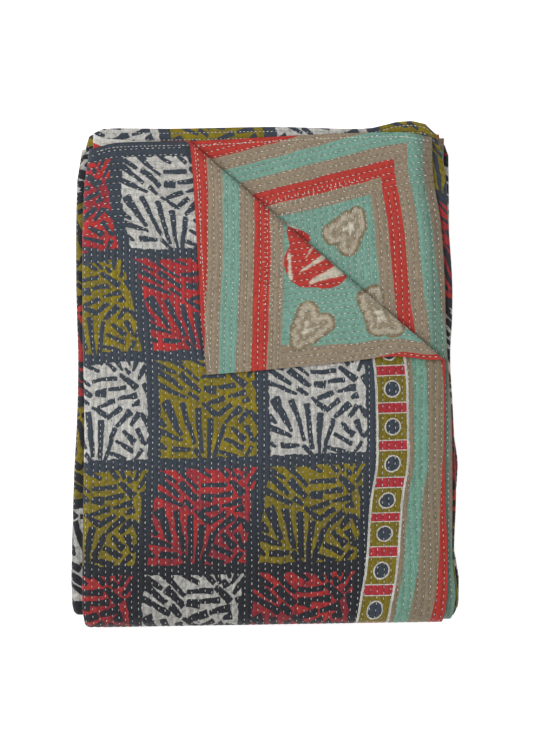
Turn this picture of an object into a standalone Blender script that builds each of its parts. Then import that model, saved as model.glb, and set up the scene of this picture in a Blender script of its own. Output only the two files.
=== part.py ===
"""A kantha quilt: two printed cotton cloths held together by rows of running stitch.

It is folded in four across its width, then in four along its length, and the free
corner of the top layer is turned back. The cloth is cut flat, creased where it folds,
and each of its points is then moved to where the folding puts it. X is to the right
and Y towards the quilt's hems, seen from above. The packet rests on its lowest layer
at Z = 0, with the origin under the middle of its outline.
"""

import math
from collections import namedtuple

import bmesh
import bpy
from mathutils import Vector

MM = 0.001

# The cloth, and how closely its layers lie on each other
CLOTH_THICKNESS = 1.8
LAYER_PITCH = 2.4
LAYERS_IN_STRIP = 4
STRIP_PITCH = LAYERS_IN_STRIP * LAYER_PITCH

# A strip folded in four has its legs at these levels, in the order in which it runs,
# and its upper side looks up on the first leg, down on the next, and so on.
LEG_LEVELS = (3, 0, 1, 2)
LEG_FACES = (1, -1, 1, -1)
BEND_FACES = (1, 1, -1)

# First folding, across the width: flat lengths of the legs and of the bends between them
ACROSS_LEG = 374.0
ACROSS_BENDS = (13.0, 5.0, 5.0)
ACROSS_REACH = (4.5, 1.7, 1.7)
ACROSS_SPREAD = (1.0, 1.0, 1.0)

# Second folding, along the length, of the strip of four layers
ALONG_LEG = 486.0
ALONG_BENDS = (46.0, 17.0, 17.0)
ALONG_REACH = (14.0, 6.0, 6.0)
ALONG_SPREAD = (1.25, 1.3, 1.3)
HEM_Y = 243.0
FOOT_Y = (-237.5, -232.0)
FOOT_TILT = 0.016
HEAD_Y = 240.0

QUILT_WIDTH = 4 * ACROSS_LEG + sum(ACROSS_BENDS)
QUILT_LENGTH = 4 * ALONG_LEG + sum(ALONG_BENDS)

# Where the folds and the two side hems lie in X, at distances along the quilt.
# The four quarters of the length are the top, the lowest, the third and the second strip.
Sides = namedtuple("Sides", "along outer_fold inner_fold top_hem under_hem right_fold")
SIDES = (
    Sides(0, -181, -177, 163, 172, 176),
    Sides(40, -186, -177, 166, 173, 185),
    Sides(90, -188, -177, 169, 181, 188),
    Sides(150, -188, -177, 172, 185, 192),
    Sides(190, -188, -178, 174, 186, 192),
    Sides(230, -187, -178, 184, 188, 190),
    Sides(290, -186, -178, 185, 192, 193),
    Sides(370, -187, -178, 185, 193, 196),
    Sides(440, -188, -178, 188, 193, 194),
    Sides(480, -188, -178, 187, 196, 198),
    Sides(510, -186, -176, 182, 190, 193),
    Sides(540, -187, -177, 182, 180, 188),
    Sides(1010, -187, -177, 182, 180, 187),
    Sides(1028, -183, -174, 180, 178, 183),
    Sides(1046, -187, -178, 183, 182, 189),
    Sides(1490, -192, -182, 184, 183, 190),
    Sides(1521, -196, -185, 183, 182, 196),
    Sides(1538, -199, -187, 183, 182, 199),
    Sides(1560, -200, -188, 183, 182, 199),
    Sides(1610, -199, -186, 182, 181, 192),
    Sides(1680, -197, -184, 181, 180, 198),
    Sides(1740, -194, -183, 181, 180, 190),
    Sides(1800, -193, -182, 182, 180, 187),
    Sides(1880, -195, -183, 184, 180, 186),
    Sides(1990, -194, -182, 184, 178, 182),
    Sides(QUILT_LENGTH, -189, -178, 185, 176, 178),
)

# How far each end hem strays from a straight line, at distances across the quilt
Hem = namedtuple("Hem", "across head foot")
HEMS = (
    Hem(0, 20, 4),
    Hem(60, 17, 2),
    Hem(150, 9, 0),
    Hem(250, 1, 0),
    Hem(350, -2, 0),
    Hem(380.5, -8, -9),
    Hem(400, -3, -1),
    Hem(560, -2, 1),
    Hem(740, 0, 0),
    Hem(763.5, 7, -3),
    Hem(776, 18, -1),
    Hem(790, 21, 0),
    Hem(808, 20, 0),
    Hem(834, 14, 0),
    Hem(862, 13, 0),
    Hem(940, 15, 0),
    Hem(1060, 13, 0),
    Hem(1132, 13, 0),
    Hem(1142.5, 8, -3),
    Hem(1153, 3, 0),
    Hem(1165, 2, 0),
    Hem(1220, -1, 0),
    Hem(1390, 7, 0),
    Hem(1450, 9, 0),
    Hem(1490, 9, 0),
    Hem(QUILT_WIDTH, 4, 0),
)

# The turned-back corner: two points of its crease, seen from above, and its roll
CREASE_START = Vector((-84.5, 246.7))
CREASE_END = Vector((183.3, 17.5))
CREASE_ROLL = 2.6
CORNER_LIFT = 2.6
CORNER_SETTLE = 30.0

# Rows of running stitch draw the cloth into low ribs
STITCH_ROW_PITCH = 6.9
RIB_HEIGHT = 0.3
RIB_FADE = 30.0

# Soft unevenness of the pile, greatest at the top: height, and length of its waves
PILE_SWELL = 1.0
SWELL_LENGTH_X = 420.0
SWELL_LENGTH_Y = 560.0

# How finely the flat cloth is creased before it is folded
LEG_CREASES_ACROSS = 4
LEG_CREASES_ALONG = 7
BEND_CREASES_ACROSS = 4
BEND_CREASES_ALONG = (8, 4, 4)
ROLL_CREASES = 5
SHORTEST_EDGE = 0.5

COTTON_COLOUR = (0.10, 0.12, 0.16, 1.0)
COTTON_ROUGHNESS = 0.9


def clear_scene():
    for old in list(bpy.data.objects):
        bpy.data.objects.remove(old)


def cotton():
    material = bpy.data.materials.new("printed_cotton")
    material.use_nodes = True
    shader = material.node_tree.nodes["Principled BSDF"]
    shader.inputs["Base Color"].default_value = COTTON_COLOUR
    shader.inputs["Roughness"].default_value = COTTON_ROUGHNESS
    shader.inputs["Metallic"].default_value = 0.0
    return material


def read(table, column, at):
    """The value of a table's column at a distance, on a smooth curve through its rows."""
    rows = [(row[0], getattr(row, column)) for row in table]
    at = min(max(at, rows[0][0]), rows[-1][0])
    last = max(i for i in range(len(rows) - 1) if rows[i][0] <= at)

    def slope(i):
        before, after = rows[max(i - 1, 0)], rows[min(i + 1, len(rows) - 1)]
        return (after[1] - before[1]) / (after[0] - before[0])

    (start, low), (end, high) = rows[last], rows[last + 1]
    step = end - start
    t = (at - start) / step
    ease = t * t * (3 - 2 * t)
    return (
        low
        + (high - low) * ease
        + step * slope(last) * t * (1 - t) ** 2
        - step * slope(last + 1) * (1 - t) * t * t
    )


def fold_in_four(distance, leg, bends, ends, reach, spread, pitch, offset):
    """Where a point of a strip comes to lie: its place, and its height over the lowest leg.

    The point is at this distance along the strip and this offset off its upper side.
    ends gives each leg's start and end place. A bend bulges past the leg's end by its
    reach, and the outer layers of a thick strip reach further, by spread.
    """
    for i in range(4):
        if distance <= leg or i == 3:
            start, end = ends[i]
            place = start + (end - start) * distance / leg
            return place, LEG_LEVELS[i] * pitch + LEG_FACES[i] * offset
        distance -= leg
        if distance < bends[i]:
            turn = math.pi * distance / bends[i]
            rise = (LEG_LEVELS[i] - LEG_LEVELS[i + 1]) * pitch / 2
            middle = (LEG_LEVELS[i] + LEG_LEVELS[i + 1]) * pitch / 2
            outward = BEND_FACES[i] * offset
            radius = abs(rise) + outward
            out = math.copysign(reach[i] + spread[i] * outward, ends[i][1] - ends[i][0])
            mix = (1 - math.cos(turn)) / 2
            leg_end = ends[i][1] + (ends[i + 1][0] - ends[i][1]) * mix
            place = leg_end + out * math.sin(turn)
            return place, middle + math.copysign(radius, rise) * math.cos(turn)
        distance -= bends[i]


def across_ends(along):
    """Start and end of each leg of the first folding, in X."""
    outer = read(SIDES, "outer_fold", along) + ACROSS_REACH[0]
    right = read(SIDES, "right_fold", along) - ACROSS_REACH[1]
    inner = read(SIDES, "inner_fold", along) + ACROSS_REACH[2]
    top_hem = read(SIDES, "top_hem", along)
    under_hem = read(SIDES, "under_hem", along)
    return (top_hem, outer), (outer, right), (right, inner), (inner, under_hem)


def along_ends(across, x):
    """Start and end of each leg of the second folding, in Y. The foot lies at a slight slant."""
    head = HEM_Y + read(HEMS, "head", across)
    foot = HEM_Y + read(HEMS, "foot", across)
    outer, inner = (y + FOOT_TILT * x for y in FOOT_Y)
    return (head, outer), (outer, HEAD_Y), (HEAD_Y, inner), (inner, foot)


def rib(across, along):
    """How far the stitching raises the cloth: only the top layer shows its rows in the solid."""
    if across > ACROSS_LEG or along > ALONG_LEG:
        return 0.0
    margin = min(ACROSS_LEG - across, ALONG_LEG - along, RIB_FADE) / RIB_FADE
    wave = math.cos(2 * math.pi * across / STITCH_ROW_PITCH)
    return RIB_HEIGHT / 2 * wave * margin


def turn_back(x, y, z, raised):
    """Rolls what lies past the crease over, so that the corner lies face down on its layer."""
    crease = (CREASE_END - CREASE_START).normalized()
    outward = Vector((-crease.y, crease.x))
    past = (Vector((x, y)) - CREASE_START).dot(outward) + CREASE_ROLL
    if past <= 0:
        return x, y, z + raised
    roll = math.pi * CREASE_ROLL
    turn = min(past / CREASE_ROLL, math.pi)
    radius = CREASE_ROLL - raised
    shift = -CREASE_ROLL + radius * math.sin(turn) - max(past - roll, 0.0)
    settled = 1 - math.exp(-max(past - roll, 0.0) / CORNER_SETTLE)
    height = CREASE_ROLL - radius * math.cos(turn) - settled * (2 * CREASE_ROLL - CORNER_LIFT)
    flat = Vector((x, y)) + outward * (shift - (past - CREASE_ROLL))
    return flat.x, flat.y, z + height


def swell(x, y, z):
    """The pile isn't quite level: it swells and sinks in slow waves, more so higher up."""
    pile = LAYERS_IN_STRIP * STRIP_PITCH
    wave = math.sin(2 * math.pi * x / SWELL_LENGTH_X + 0.6) * math.cos(2 * math.pi * y / SWELL_LENGTH_Y)
    return z + PILE_SWELL * wave * max(z - CLOTH_THICKNESS, 0.0) / pile


def folded(across, along):
    """A point of the flat cloth, moved to where it lies in the packet."""
    raised = rib(across, along)
    x, height = fold_in_four(
        across,
        ACROSS_LEG,
        ACROSS_BENDS,
        across_ends(along),
        ACROSS_REACH,
        ACROSS_SPREAD,
        LAYER_PITCH,
        0.0,
    )
    middle = (LAYERS_IN_STRIP - 1) / 2 * LAYER_PITCH
    y, z = fold_in_four(
        along,
        ALONG_LEG,
        ALONG_BENDS,
        along_ends(across, x),
        ALONG_REACH,
        ALONG_SPREAD,
        STRIP_PITCH,
        height - middle,
    )
    z += middle + CLOTH_THICKNESS / 2
    if across <= ACROSS_LEG and along <= ALONG_LEG:
        x, y, z = turn_back(x, y, z, raised)
    return Vector((x, y, swell(x, y, z)))


def crease_lines(leg, leg_creases, bends, bend_creases):
    """Distances at which the flat cloth is creased along one direction."""
    lines = []
    start = 0.0
    for i in range(4):
        lines += [start + leg * k / leg_creases for k in range(leg_creases + 1)]
        start += leg
        if i < 3:
            count = bend_creases[i]
            lines += [start + bends[i] * k / count for k in range(1, count)]
            start += bends[i]
    return lines[1:-1]


def crease(cloth, point, direction, faces=None):
    """Adds an edge across the flat cloth, or across these faces only."""
    faces = faces if faces is not None else cloth.faces[:]
    edges = {edge for face in faces for edge in face.edges}
    points = {point_ for face in faces for point_ in face.verts}
    bmesh.ops.bisect_plane(
        cloth,
        geom=[*points, *edges, *faces],
        dist=0.01,
        plane_co=(*point, 0),
        plane_no=(*direction, 0),
    )


def top_layer_faces(cloth):
    """The flat faces that become the top layer of the packet."""
    return [
        face
        for face in cloth.faces
        if face.calc_center_median().x < ACROSS_LEG and face.calc_center_median().y < ALONG_LEG
    ]


def hem_faces(cloth):
    """The flat faces along the two end hems."""
    row = ALONG_LEG / LEG_CREASES_ALONG
    return [
        face
        for face in cloth.faces
        if not row < face.calc_center_median().y < QUILT_LENGTH - row
    ]


def flat_crease_point(spot):
    """The flat point of the top layer that lies at this spot of the packet before it is turned back."""
    across, along = spot.x, spot.y
    for _ in range(12):
        (start, end), *_ = across_ends(along)
        across = ACROSS_LEG * (spot.x - start) / (end - start)
        (start, end), *_ = along_ends(min(max(across, 0.0), QUILT_WIDTH), spot.x)
        along = ALONG_LEG * (spot.y - start) / (end - start)
    return Vector((across, along))


def flat_cloth():
    """The whole cloth laid flat, with an edge wherever it will bend."""
    cloth = bmesh.new()
    bmesh.ops.create_grid(cloth, x_segments=1, y_segments=1, size=0.5)
    for point in cloth.verts:
        point.co = ((point.co.x + 0.5) * QUILT_WIDTH, (point.co.y + 0.5) * QUILT_LENGTH, 0)
    for line in crease_lines(ACROSS_LEG, LEG_CREASES_ACROSS, ACROSS_BENDS, (BEND_CREASES_ACROSS,) * 3):
        crease(cloth, (line, 0), (1, 0))
    for line in crease_lines(ALONG_LEG, LEG_CREASES_ALONG, ALONG_BENDS, BEND_CREASES_ALONG):
        crease(cloth, (0, line), (0, 1))
    for hem in HEMS[1:-1]:
        crease(cloth, (hem.across, 0), (1, 0), hem_faces(cloth))
    rows = int(ACROSS_LEG / STITCH_ROW_PITCH)
    for row in range(1, 2 * rows):
        crease(cloth, (row * STITCH_ROW_PITCH / 2, 0), (1, 0), top_layer_faces(cloth))
    crease_corner(cloth)
    return cloth


def crease_corner(cloth):
    """Edges along the roll of the turned-back corner."""
    direction = (CREASE_END - CREASE_START).normalized()
    outward = Vector((-direction.y, direction.x))
    for k in range(ROLL_CREASES + 1):
        past = math.pi * CREASE_ROLL * k / ROLL_CREASES - CREASE_ROLL
        start = flat_crease_point(CREASE_START + outward * past)
        end = flat_crease_point(CREASE_END + outward * past)
        run = (end - start).normalized()
        crease(cloth, start, (-run.y, run.x), top_layer_faces(cloth))


def quilt(collection):
    cloth = flat_cloth()
    bmesh.ops.remove_doubles(cloth, verts=cloth.verts, dist=SHORTEST_EDGE)
    bmesh.ops.triangulate(cloth, faces=cloth.faces)
    for point in cloth.verts:
        point.co = folded(point.co.x, point.co.y)
    low = Vector(min(point.co[i] for point in cloth.verts) for i in range(3))
    high = Vector(max(point.co[i] for point in cloth.verts) for i in range(3))
    middle = Vector(((low.x + high.x) / 2, (low.y + high.y) / 2, 0))
    for point in cloth.verts:
        point.co = (point.co - middle) * MM
    bmesh.ops.recalc_face_normals(cloth, faces=cloth.faces)
    mesh = bpy.data.meshes.new("quilt")
    cloth.to_mesh(mesh)
    cloth.free()
    mesh.materials.append(cotton())
    piece = bpy.data.objects.new("quilt", mesh)
    collection.objects.link(piece)
    shell = piece.modifiers.new("thickness", "SOLIDIFY")
    shell.thickness = CLOTH_THICKNESS * MM
    shell.offset = 0.0
    return piece


clear_scene()
folded_quilt = bpy.data.collections.new("kantha_quilt")
bpy.context.scene.collection.children.link(folded_quilt)
quilt(folded_quilt)
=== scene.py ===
"""A folded kantha quilt, dressed for its portrait.

Two block-printed cottons lie back to back, held together by rows of hand running
stitch. The quilt is folded in four across its width and in four along its length, and
the free corner of its top layer is turned back to show the printed backing.
"""

import math
from collections import namedtuple

import bpy
import numpy as np
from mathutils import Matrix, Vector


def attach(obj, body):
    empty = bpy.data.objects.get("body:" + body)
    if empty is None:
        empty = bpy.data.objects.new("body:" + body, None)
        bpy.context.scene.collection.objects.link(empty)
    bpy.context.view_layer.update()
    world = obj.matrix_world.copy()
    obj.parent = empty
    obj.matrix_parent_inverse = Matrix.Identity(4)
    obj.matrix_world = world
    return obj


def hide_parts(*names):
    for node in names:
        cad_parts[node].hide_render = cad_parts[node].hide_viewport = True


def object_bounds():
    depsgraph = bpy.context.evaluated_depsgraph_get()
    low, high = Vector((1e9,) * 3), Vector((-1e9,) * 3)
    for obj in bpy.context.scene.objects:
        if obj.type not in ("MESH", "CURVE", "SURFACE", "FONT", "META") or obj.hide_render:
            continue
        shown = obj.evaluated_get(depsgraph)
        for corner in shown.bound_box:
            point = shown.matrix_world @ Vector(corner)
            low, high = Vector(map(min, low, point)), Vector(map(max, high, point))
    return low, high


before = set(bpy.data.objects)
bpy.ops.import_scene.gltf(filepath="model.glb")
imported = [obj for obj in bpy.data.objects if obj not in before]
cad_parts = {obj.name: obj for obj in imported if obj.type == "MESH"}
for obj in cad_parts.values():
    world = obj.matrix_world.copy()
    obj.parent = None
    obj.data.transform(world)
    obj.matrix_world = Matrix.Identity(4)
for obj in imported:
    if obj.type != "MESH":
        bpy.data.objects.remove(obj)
cad_box = [[float(value) for value in corner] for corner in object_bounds()]

# THE VIEW FROM ABOVE
# The packet lies flat and is seen from straight above, with its hems at the top of the
# picture. The camera stands far back, as a photographer's does for a flat layout.
VIEW_HEIGHT = 0.764
VIEW_CENTRE = (0.0052, 0.0033)
CAMERA_DISTANCE = 4.0
SENSOR_LENGTH = 36.0
packet_top = cad_box[1][2]

bpy.ops.object.select_all(action="DESELECT")
bpy.ops.object.camera_add(location=(*VIEW_CENTRE, packet_top + CAMERA_DISTANCE), rotation=(0, 0, 0))
camera = bpy.context.object
camera.name = "camera"
camera.data.sensor_fit = "AUTO"
camera.data.sensor_width = SENSOR_LENGTH
camera.data.lens = SENSOR_LENGTH * CAMERA_DISTANCE / VIEW_HEIGHT
bpy.context.scene.camera = camera

# THE QUILTED CLOTH
# Two thin cottons, 1.52 by 2.02 m, lie back to back. The cloth is laid out flat on a grid
# in millimetres, creased where the corner is turned back, and each of its points is then
# moved to where the folding puts it. Its two faces stand a cloth's thickness apart.
MM = 0.001
CLOTH_THICKNESS = 2.0
SOLID_THICKNESS = 1.8
LAYER_PITCH = 2.4
LAYERS_IN_STRIP = 4
STRIP_PITCH = LAYERS_IN_STRIP * LAYER_PITCH

# A strip folded in four has its legs at these levels, in the order in which it runs,
# and its upper side looks up on the first leg, down on the next, and so on
LEG_LEVELS = (3, 0, 1, 2)
LEG_FACES = (1, -1, 1, -1)
BEND_FACES = (1, 1, -1)

# First folding, across the width: flat lengths of the legs and of the bends between them
ACROSS_LEG = 374.0
ACROSS_BENDS = (13.0, 5.0, 5.0)
ACROSS_REACH = (4.5, 1.7, 1.7)
ACROSS_SPREAD = (1.0, 1.0, 1.0)

# Second folding, along the length, of the strip of four layers
ALONG_LEG = 486.0
ALONG_BENDS = (46.0, 17.0, 17.0)
ALONG_REACH = (14.0, 6.0, 6.0)
ALONG_SPREAD = (1.25, 1.3, 1.3)
HEM_Y = 243.0
FOOT_Y = (-237.5, -232.0)
FOOT_TILT = 0.016
HEAD_Y = 240.0

QUILT_WIDTH = 4 * ACROSS_LEG + sum(ACROSS_BENDS)
QUILT_LENGTH = 4 * ALONG_LEG + sum(ALONG_BENDS)

# Where the folds and the two side hems lie in X, at distances along the quilt
Sides = namedtuple("Sides", "along outer_fold inner_fold top_hem under_hem right_fold")
SIDES = (
    Sides(0, -181, -177, 163, 172, 176),
    Sides(40, -186, -177, 166, 173, 185),
    Sides(90, -188, -177, 169, 181, 188),
    Sides(150, -188, -177, 172, 185, 192),
    Sides(190, -188, -178, 174, 186, 192),
    Sides(230, -187, -178, 184, 188, 190),
    Sides(290, -186, -178, 185, 192, 193),
    Sides(370, -187, -178, 185, 193, 196),
    Sides(440, -188, -178, 188, 193, 194),
    Sides(480, -188, -178, 187, 196, 198),
    Sides(510, -186, -176, 182, 190, 193),
    Sides(540, -187, -177, 182, 180, 188),
    Sides(1010, -187, -177, 182, 180, 187),
    Sides(1028, -183, -174, 180, 178, 183),
    Sides(1046, -187, -178, 183, 182, 189),
    Sides(1490, -192, -182, 184, 183, 190),
    Sides(1521, -196, -185, 183, 182, 196),
    Sides(1538, -199, -187, 183, 182, 199),
    Sides(1560, -200, -188, 183, 182, 199),
    Sides(1610, -199, -186, 182, 181, 192),
    Sides(1680, -197, -184, 181, 180, 198),
    Sides(1740, -194, -183, 181, 180, 190),
    Sides(1800, -193, -182, 182, 180, 187),
    Sides(1880, -195, -183, 184, 180, 186),
    Sides(1990, -194, -182, 184, 178, 182),
    Sides(QUILT_LENGTH, -189, -178, 185, 176, 178),
)

# How far each end hem strays from a straight line, at distances across the quilt
Hem = namedtuple("Hem", "across head foot")
HEMS = (
    Hem(0, 20, 4),
    Hem(60, 17, 2),
    Hem(150, 9, 0),
    Hem(250, 1, 0),
    Hem(350, -2, 0),
    Hem(380.5, -8, -9),
    Hem(400, -3, -1),
    Hem(560, -2, 1),
    Hem(740, 0, 0),
    Hem(763.5, 7, -3),
    Hem(776, 18, -1),
    Hem(790, 21, 0),
    Hem(808, 20, 0),
    Hem(834, 14, 0),
    Hem(862, 13, 0),
    Hem(940, 15, 0),
    Hem(1060, 13, 0),
    Hem(1132, 13, 0),
    Hem(1142.5, 8, -3),
    Hem(1153, 3, 0),
    Hem(1165, 2, 0),
    Hem(1220, -1, 0),
    Hem(1390, 7, 0),
    Hem(1450, 9, 0),
    Hem(1490, 9, 0),
    Hem(QUILT_WIDTH, 4, 0),
)

# The turned-back corner: two points of its crease, seen from above, and its roll
CREASE_START = np.array((-84.5, 246.7))
CREASE_END = np.array((183.3, 17.5))
CREASE_ROLL = 2.6
CORNER_LIFT = 2.6
CORNER_SETTLE = 30.0
crease_run = (CREASE_END - CREASE_START) / np.linalg.norm(CREASE_END - CREASE_START)
crease_out = np.array((-crease_run[1], crease_run[0]))

# Soft unevenness of the pile, greatest at the top: height, and length of its waves
PILE_SWELL = 1.0
SWELL_LENGTH_X = 420.0
SWELL_LENGTH_Y = 560.0

# Each row of stitches draws the two cottons together, so the cloth swells between rows
ROW_PITCH = 6.9
FIRST_ROW = ROW_PITCH / 2
THIN_AT_ROW = 0.6
THICKNESS_BETWEEN = (0.93, 1.0)


def read(table, column, at):
    """A table's column at these distances, on a smooth curve through its rows."""
    knots = np.array([row[0] for row in table], float)
    values = np.array([getattr(row, column) for row in table], float)
    at = np.clip(at, knots[0], knots[-1])
    i = np.clip(np.searchsorted(knots, at, "right") - 1, 0, len(knots) - 2)
    before = np.clip(np.arange(len(knots)) - 1, 0, None)
    after = np.clip(np.arange(len(knots)) + 1, None, len(knots) - 1)
    slope = (values[after] - values[before]) / (knots[after] - knots[before])
    step = knots[i + 1] - knots[i]
    t = (at - knots[i]) / step
    ease = t * t * (3 - 2 * t)
    bow = step * (slope[i] * t * (1 - t) ** 2 - slope[i + 1] * (1 - t) * t * t)
    return values[i] + (values[i + 1] - values[i]) * ease + bow


def fold_in_four(distance, leg, bends, ends, reach, spread, pitch, offset):
    """Place, and height over the lowest leg, of points of a strip at these distances."""
    place = np.zeros_like(distance)
    height = np.zeros_like(distance)
    begun = 0.0
    for i in range(4):
        start, end = ends[i]
        here = distance - begun
        on_leg = here >= 0 if i else here > -np.inf
        place = np.where(on_leg, start + (end - start) * here / leg, place)
        height = np.where(on_leg, LEG_LEVELS[i] * pitch + LEG_FACES[i] * offset, height)
        begun += leg
        if i == 3:
            return place, height
        here = distance - begun
        turn = np.pi * here / bends[i]
        rise = (LEG_LEVELS[i] - LEG_LEVELS[i + 1]) * pitch / 2
        middle = (LEG_LEVELS[i] + LEG_LEVELS[i + 1]) * pitch / 2
        outward = BEND_FACES[i] * offset
        out = np.sign(end - start) * (reach[i] + spread[i] * outward)
        mix = (1 - np.cos(turn)) / 2
        place = np.where(here > 0, end + (ends[i + 1][0] - end) * mix + out * np.sin(turn), place)
        round_bend = middle + math.copysign(1, rise) * (abs(rise) + outward) * np.cos(turn)
        height = np.where(here > 0, round_bend, height)
        begun += bends[i]


def across_ends(along):
    """Start and end of each leg of the first folding, in X."""
    outer = read(SIDES, "outer_fold", along) + ACROSS_REACH[0]
    right = read(SIDES, "right_fold", along) - ACROSS_REACH[1]
    inner = read(SIDES, "inner_fold", along) + ACROSS_REACH[2]
    top_hem = read(SIDES, "top_hem", along)
    under_hem = read(SIDES, "under_hem", along)
    return (top_hem, outer), (outer, right), (right, inner), (inner, under_hem)


def along_ends(across, x):
    """Start and end of each leg of the second folding, in Y. The foot lies at a slight slant."""
    head = HEM_Y + read(HEMS, "head", across)
    foot = HEM_Y + read(HEMS, "foot", across)
    outer, inner = (y + FOOT_TILT * x for y in FOOT_Y)
    return (head, outer), (outer, HEAD_Y + 0 * x), (HEAD_Y + 0 * x, inner), (inner, foot)


def turn_back(x, y, z):
    """Rolls what lies past the crease over, so that the corner lies face down on its layer."""
    past = (x - CREASE_START[0]) * crease_out[0] + (y - CREASE_START[1]) * crease_out[1] + CREASE_ROLL
    beyond = np.clip(past - math.pi * CREASE_ROLL, 0, None)
    turn = np.clip(past / CREASE_ROLL, 0, math.pi)
    shift = -CREASE_ROLL + CREASE_ROLL * np.sin(turn) - beyond
    settled = 1 - np.exp(-beyond / CORNER_SETTLE)
    height = CREASE_ROLL * (1 - np.cos(turn)) - settled * (2 * CREASE_ROLL - CORNER_LIFT)
    move = np.where(past > 0, shift - (past - CREASE_ROLL), 0)
    return x + crease_out[0] * move, y + crease_out[1] * move, z + np.where(past > 0, height, 0)


def folded(across, along):
    """Points of the middle of the flat cloth, moved to where they lie in the packet."""
    across, along = np.broadcast_arrays(np.asarray(across, float), np.asarray(along, float))
    x, height = fold_in_four(
        across, ACROSS_LEG, ACROSS_BENDS, across_ends(along), ACROSS_REACH, ACROSS_SPREAD, LAYER_PITCH, 0.0
    )
    middle = (LAYERS_IN_STRIP - 1) / 2 * LAYER_PITCH
    ends = along_ends(across, x)
    y, z = fold_in_four(
        along, ALONG_LEG, ALONG_BENDS, ends, ALONG_REACH, ALONG_SPREAD, STRIP_PITCH, height - middle
    )
    z = z + middle + SOLID_THICKNESS / 2
    on_top = (across <= ACROSS_LEG) & (along <= ALONG_LEG)
    turned = turn_back(x, y, z)
    x, y, z = (np.where(on_top, moved, still) for moved, still in zip(turned, (x, y, z)))
    pile = LAYERS_IN_STRIP * STRIP_PITCH
    wave = np.sin(2 * np.pi * x / SWELL_LENGTH_X + 0.6) * np.cos(2 * np.pi * y / SWELL_LENGTH_Y)
    z = z + PILE_SWELL * wave * np.clip(z - SOLID_THICKNESS, 0, None) / pile
    return np.stack([x, y, z], -1)


def lines_between(counts, lengths):
    """Grid lines of legs and bends in turn, each cut into its count of equal steps."""
    lines = [0.0]
    for count, length in zip(counts, lengths):
        lines += [lines[-1] + length * (k + 1) / count for k in range(count)]
    return lines


def legs_and_bends(leg, bends):
    return (leg, bends[0], leg, bends[1], leg, bends[2], leg)


def with_knots(lines, table, first):
    """The lines, and those of the table's distances past the first that aren't near one."""
    knots = [row[0] for row in table if row[0] > first]
    apart = [knot for knot in knots if np.abs(np.array(lines) - knot).min() > LEAST_GAP]
    return np.array(sorted([*lines, *apart]))


# Three grid lines to a stitch row on the top layer, fewer where the packet hides the cloth
LINES_PER_ROW = 3
LEAST_GAP = 1.0
ACROSS_COUNTS = (1, 8, 8, 4, 14, 4, 22)
ALONG_COUNTS = (112, 14, 16, 6, 16, 6, 16)
row_lines = np.arange(ROW_PITCH / LINES_PER_ROW / 2, ACROSS_LEG - 1, ROW_PITCH / LINES_PER_ROW)
wide_lines = lines_between(ACROSS_COUNTS, legs_and_bends(ACROSS_LEG, ACROSS_BENDS))
across_lines = with_knots([0.0, *row_lines, *wide_lines[1:]], HEMS, ACROSS_LEG)
along_lines = lines_between(ALONG_COUNTS, legs_and_bends(ALONG_LEG, ALONG_BENDS))
along_lines = with_knots(along_lines, SIDES, ALONG_LEG)

bpy.ops.object.select_all(action="DESELECT")
bpy.ops.mesh.primitive_grid_add(
    x_subdivisions=len(across_lines) - 1, y_subdivisions=len(along_lines) - 1, size=1
)
quilt = bpy.context.object
quilt.name = "kantha_quilt"
quilt.data.name = "kantha_quilt"
flat_across, flat_along = np.meshgrid(across_lines, along_lines)
flat_points = np.stack([flat_across, flat_along, 0 * flat_along], -1) * MM
quilt.data.vertices.foreach_set("co", flat_points.ravel())
quilt.data.update()


def flat_spot_of(spot):
    """The flat point of the top layer that lies at this spot before the corner is turned back."""
    across, along = spot
    for _ in range(12):
        start, end = across_ends(along)[0]
        across = ACROSS_LEG * (spot[0] - start) / (end - start)
        start, end = along_ends(across, spot[0])[0]
        along = ALONG_LEG * (spot[1] - start) / (end - start)
    return np.array((float(across), float(along)))


# Edges across the top layer, parallel to the crease, so that the corner rolls over roundly
ROLL_STEPS = 6
SHORTEST_EDGE = 0.3
bpy.ops.object.mode_set(mode="EDIT")
bpy.ops.mesh.select_mode(type="FACE")
for k in range(ROLL_STEPS + 1):
    past = math.pi * CREASE_ROLL * k / ROLL_STEPS - CREASE_ROLL
    start = flat_spot_of(CREASE_START + crease_out * past)
    end = flat_spot_of(CREASE_END + crease_out * past)
    run = (end - start) / np.linalg.norm(end - start)
    bpy.ops.mesh.select_all(action="DESELECT")
    bpy.ops.object.mode_set(mode="OBJECT")
    centres = np.empty(len(quilt.data.polygons) * 3)
    quilt.data.polygons.foreach_get("center", centres)
    centres = centres.reshape(-1, 3) / MM
    top_layer = (centres[:, 0] < ACROSS_LEG) & (centres[:, 1] < ALONG_LEG)
    quilt.data.polygons.foreach_set("select", top_layer)
    bpy.ops.object.mode_set(mode="EDIT")
    bpy.ops.mesh.bisect(plane_co=(*(start * MM), 0), plane_no=(-run[1], run[0], 0), threshold=1e-6)
bpy.ops.mesh.select_all(action="SELECT")
bpy.ops.mesh.remove_doubles(threshold=SHORTEST_EDGE * MM)
bpy.ops.mesh.select_all(action="DESELECT")
bpy.ops.mesh.select_face_by_sides(number=4, type="NOTEQUAL")
bpy.ops.mesh.quads_convert_to_tris()
bpy.ops.object.mode_set(mode="OBJECT")

flat = np.empty(len(quilt.data.vertices) * 3)
quilt.data.vertices.foreach_get("co", flat)
across, along = flat.reshape(-1, 3)[:, :2].T / MM
places = folded(across, along)
centre_x, centre_y = (places.max(0) + places.min(0))[:2] / 2
middle_of_packet = np.array((centre_x, centre_y, 0))


def in_packet(across, along):
    """Folded points in metres, with the packet's outline centred as its solid is."""
    return (folded(across, along) - middle_of_packet) * MM


quilt.data.vertices.foreach_set("co", in_packet(across, along).ravel())
quilt.data.update()
print("quilt points", len(across), "faces", len(quilt.data.polygons))

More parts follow.
